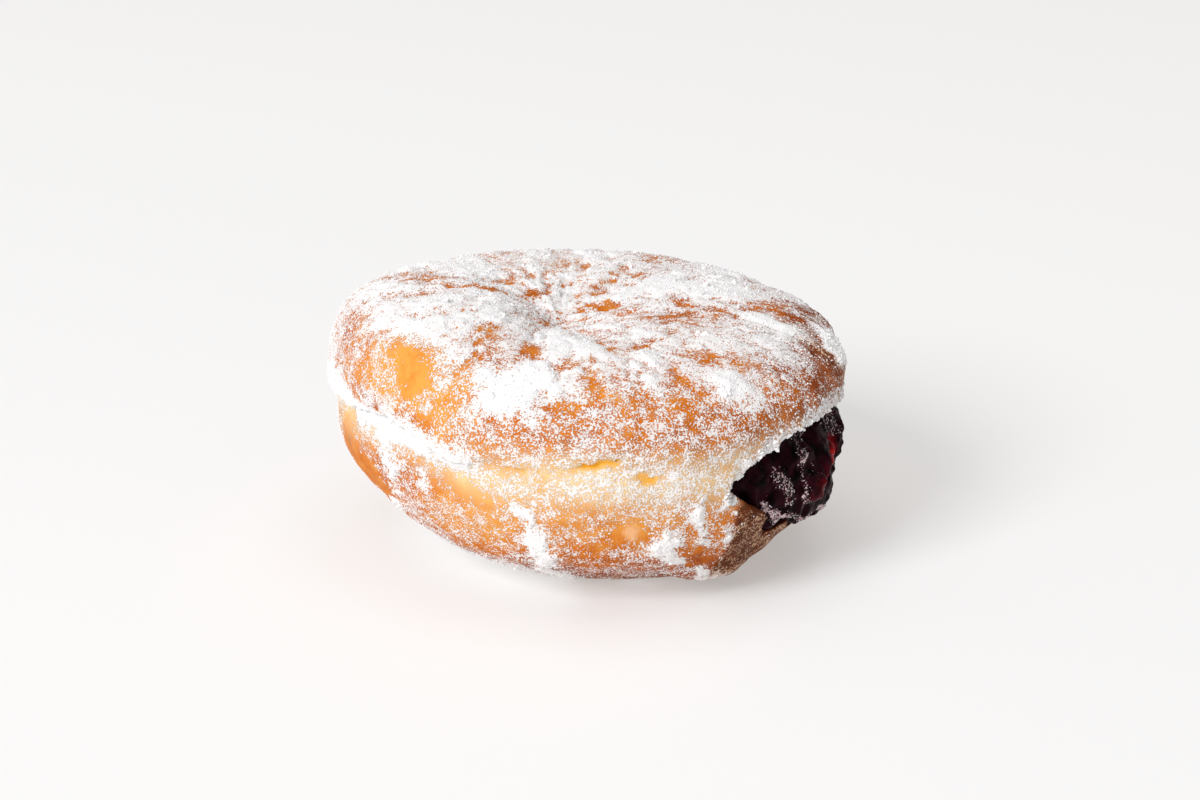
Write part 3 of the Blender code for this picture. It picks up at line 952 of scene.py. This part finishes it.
def shapeJam(piece):
    plan = jamPlan
    points, normals = surfaceOf(piece)
    outer = smoothStep(*plan["shows"], np.hypot(points[:, 0], points[:, 1]))
    stretched = points * plan["stretch"]
    lift = strokeCover(points, jamBumps) * mm
    for name, where, seed in (("knob", points, 71), ("fold", stretched, 73), ("crinkle", points, 77)):
        size, height = plan[name]
        lift += height * fractalNoise(where, size, seed, octaves=2)
    moveTo(piece, points + normals * (lift * outer)[:, None])

    size, reach = plan["rag"]
    ragged = warped(points, size, reach, seed=201)
    size, change = plan["dustPatches"]
    dust = plan["dust"] + change * fractalNoise(stretched, size, seed=85)
    dust += plan["dustBehind"] * smoothStep(*plan["behind"], points[:, 1])
    dust += strokeCover(ragged, jamStrokes)
    size, middle, change = plan["thinPatches"]
    uneven = middle + change * fractalNoise(points, size, seed=87)
    paintShare(piece, "thin", strokeCover(ragged, thinJam) * uneven)
    paintShare(piece, "dust", dust * outer)
    paintShare(piece, "dustShare", smoothStep(*plan["loose"], dust) * outer)


def jamMaterial():
    plan, colours = jamGloss, jamColours
    material, tree, shader = newMaterial("raspberryJam")
    coords = addNode(tree, "ShaderNodeTexCoord").outputs["Object"]
    fine = noiseOf(tree, coords, plan["fine"], detail=2.0, roughness=0.6)
    wide = noiseOf(tree, coords, plan["wide"], detail=2.0, roughness=0.5)
    dark = mixOf(tree, rangeOf(tree, wide, *plan["darkness"]), colours["dark"], colours["lessDark"])
    jelly = mixOf(tree, shareOf(tree, "thin"), dark, colours["thin"])
    dust = shareOf(tree, "dust")
    over = mathOf(tree, "SUBTRACT", fine, rangeOf(tree, dust, *plan["threshold"]))
    grains = rangeOf(tree, over, *plan["speckEdge"])
    veiled = mixOf(tree, rangeOf(tree, dust, *plan["veil"]), jelly, colours["veil"])
    colour = mixOf(tree, grains, veiled, colours["sugar"])
    tree.links.new(colour, shader.inputs["Base Color"])
    tree.links.new(rangeOf(tree, grains, *plan["roughness"]), shader.inputs["Roughness"])
    shader.inputs["Specular IOR Level"].default_value = plan["specular"]
    bump = addNode(tree, "ShaderNodeBump", {**plan["bump"], "Height": fine})
    tree.links.new(bump.outputs["Normal"], shader.inputs["Normal"])
    return material


def printTriangles(piece):
    triangles = sum(len(polygon.vertices) - 2 for polygon in piece.data.polygons)
    print(piece.name, "has", triangles, "triangles")


def finishPiece(piece, material):
    piece.data.materials.clear()
    piece.data.materials.append(material)
    piece.data.shade_smooth()
    printTriangles(piece)


jam = evenSkin("jam", "raspberryFilling", jamPlan)
shapeJam(jam)
finishPiece(jam, jamMaterial())

dough = evenSkin("dough", "friedDough", doughPlan)
shapeDough(dough)
finishPiece(dough, doughMaterial())


# Loose sugar, scattered over the skins by Geometry Nodes

scatterInputs = (
    ("Share Name", "NodeSocketString"),
    ("Grains per Area", "NodeSocketFloat"),  # for each square metre, where the share is 1
    ("Smallest", "NodeSocketFloat"),
    ("Largest", "NodeSocketFloat"),
    ("Stretch", "NodeSocketFloat"),
    ("Lift", "NodeSocketFloat"),  # as a share of a grain's size
    ("Segments", "NodeSocketInt"),
    ("Rings", "NodeSocketInt"),
    ("Seed", "NodeSocketInt"),
    ("Material", "NodeSocketMaterial"),
)

scatterPlan = {
    "sugarDust": {
        "on": dough, "share": "dustShare", "perArea": 1.25e6, "sizes": (0.20 * mm, 0.38 * mm),
        "sides": (4, 2), "stretch": 0.3, "lift": 0.12, "seed": 11,
    },
    "sugarGrains": {
        "on": dough, "share": "grainShare", "perArea": 1.9e6, "sizes": (0.26 * mm, 0.52 * mm),
        "sides": (4, 2), "stretch": 0.3, "lift": 0.08, "seed": 23,
    },
    "sugarCrumbs": {
        "on": dough, "share": "crumbShare", "perArea": 0.20e6, "sizes": (0.6 * mm, 1.1 * mm),
        "sides": (6, 4), "stretch": 0.3, "lift": 0.0, "seed": 37,
    },
    "lipCrumbs": {
        "on": dough, "share": "lipShare", "perArea": 2.0e6, "sizes": (0.30 * mm, 0.85 * mm),
        "sides": (6, 4), "stretch": 0.35, "lift": 0.15, "seed": 43,
    },
    "jamSugar": {
        "on": jam, "share": "dustShare", "perArea": 5.0e6, "sizes": (0.16 * mm, 0.34 * mm),
        "sides": (4, 2), "stretch": 0.3, "lift": 0.15, "seed": 59,
    },
}

grainPlan = {
    "small": 2.0,  # above 1 there are more small grains than large ones
    "lumps": {"Scale": 2.3, "Detail": 1.0},
}

powderPlan = {
    "patch": 1.2 * mm,
    "patchRange": (0.3, 0.7),
    "shades": ((0.84, 0.83, 0.83, 1.0), (0.89, 0.88, 0.88, 1.0)),
    "roughness": 0.9,
    "specular": 0.3,
}


def scatterTree():
    tree = bpy.data.node_groups.new("sugarScatter", "GeometryNodeTree")
    tree.interface.new_socket("Geometry", in_out="INPUT", socket_type="NodeSocketGeometry")
    for label, kind in scatterInputs:
        tree.interface.new_socket(label, in_out="INPUT", socket_type=kind)
    tree.interface.new_socket("Geometry", in_out="OUTPUT", socket_type="NodeSocketGeometry")
    given = addNode(tree, "NodeGroupInput").outputs
    share = addNode(tree, "GeometryNodeInputNamedAttribute", {"Name": given["Share Name"]}).outputs[0]
    density = mathOf(tree, "MULTIPLY", share, given["Grains per Area"])
    spread = addNode(tree, "GeometryNodeDistributePointsOnFaces", {
        "Mesh": given["Geometry"], "Density": density, "Seed": given["Seed"]})
    seed = mathOf(tree, "ADD", given["Seed"], 1.0)
    chance = addNode(tree, "FunctionNodeRandomValue", {2: 0.0, 3: 1.0, "Seed": seed}).outputs[1]
    small = mathOf(tree, "POWER", chance, grainPlan["small"])
    size = rangeOf(tree, small, 0.0, 1.0, given["Smallest"], given["Largest"])
    narrow = mathOf(tree, "SUBTRACT", 1.0, given["Stretch"])
    wide = mathOf(tree, "ADD", 1.0, given["Stretch"])
    stretch = addNode(tree, "FunctionNodeRandomValue", {0: narrow, 1: wide, "Seed": seed},
                      data_type="FLOAT_VECTOR").outputs[0]
    scale = addNode(tree, "ShaderNodeVectorMath", {0: stretch, 3: size}, operation="SCALE").outputs[0]
    turns = addNode(tree, "FunctionNodeRandomValue", {1: (math.tau,) * 3, "Seed": given["Seed"]},
                    data_type="FLOAT_VECTOR").outputs[0]
    rise = mathOf(tree, "MULTIPLY", size, given["Lift"])
    way = spread.outputs["Normal"]
    offset = addNode(tree, "ShaderNodeVectorMath", {0: way, 3: rise}, operation="SCALE")
    raised = addNode(tree, "GeometryNodeSetPosition", {
        "Geometry": spread.outputs["Points"], "Offset": offset.outputs[0]})
    grain = addNode(tree, "GeometryNodeMeshUVSphere", {
        "Segments": given["Segments"], "Rings": given["Rings"], "Radius": 0.5})
    lumpy = addNode(tree, "ShaderNodeTexNoise", grainPlan["lumps"]).outputs["Color"]
    moved = addNode(tree, "ShaderNodeVectorMath", {0: lumpy, 1: (0.5,) * 3}, operation="SUBTRACT")
    inputs = {"Geometry": grain.outputs["Mesh"], "Offset": moved.outputs[0]}
    uneven = addNode(tree, "GeometryNodeSetPosition", inputs)
    placed = addNode(tree, "GeometryNodeInstanceOnPoints", {
        "Points": raised.outputs[0], "Instance": uneven.outputs[0], "Rotation": turns, "Scale": scale})
    real = addNode(tree, "GeometryNodeRealizeInstances", {"Geometry": placed.outputs[0]})
    finished = addNode(tree, "GeometryNodeSetMaterial", {
        "Geometry": real.outputs[0], "Material": given["Material"]})
    out = addNode(tree, "NodeGroupOutput")
    tree.links.new(finished.outputs[0], out.inputs[0])
    return tree


def scatter(tree, name, plan, material):
    piece = bpy.data.objects.new(name, plan["on"].data.copy())
    scene.collection.objects.link(piece)
    modifier = piece.modifiers.new("scatter", "NODES")
    modifier.node_group = tree
    values = {
        "Share Name": plan["share"],
        "Grains per Area": plan["perArea"],
        "Smallest": plan["sizes"][0],
        "Largest": plan["sizes"][1],
        "Stretch": plan["stretch"],
        "Lift": plan["lift"],
        "Segments": plan["sides"][0],
        "Rings": plan["sides"][1],
        "Seed": plan["seed"],
        "Material": material,
    }
    for socket in tree.interface.items_tree:
        if socket.name in values:
            modifier[socket.identifier] = values[socket.name]
    graph = bpy.context.evaluated_depsgraph_get()
    made = bpy.data.meshes.new_from_object(piece.evaluated_get(graph))
    piece.modifiers.clear()
    piece.data = made
    made.name = name
    printTriangles(piece)
    return piece


def sugarMaterial():
    plan = powderPlan
    material, tree, shader = newMaterial("powderedSugar")
    coords = addNode(tree, "ShaderNodeTexCoord").outputs["Object"]
    tone = noiseOf(tree, coords, plan["patch"], detail=2.0, roughness=0.6)
    colour = mixOf(tree, rangeOf(tree, tone, *plan["patchRange"]), *plan["shades"])
    tree.links.new(colour, shader.inputs["Base Color"])
    shader.inputs["Roughness"].default_value = plan["roughness"]
    shader.inputs["Specular IOR Level"].default_value = plan["specular"]
    return material


sugarTree = scatterTree()
powder = sugarMaterial()
loose = [scatter(sugarTree, name, plan, powder) for name, plan in scatterPlan.items()]


# Riding on the root, with the CAD parts hidden

for piece, node, slotName in ((dough, "dough", "sugared_dough"), (jam, "jam", "raspberry_jam")):
    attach(piece, "root")
    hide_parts(node)
for piece in loose:
    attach(piece, "root")
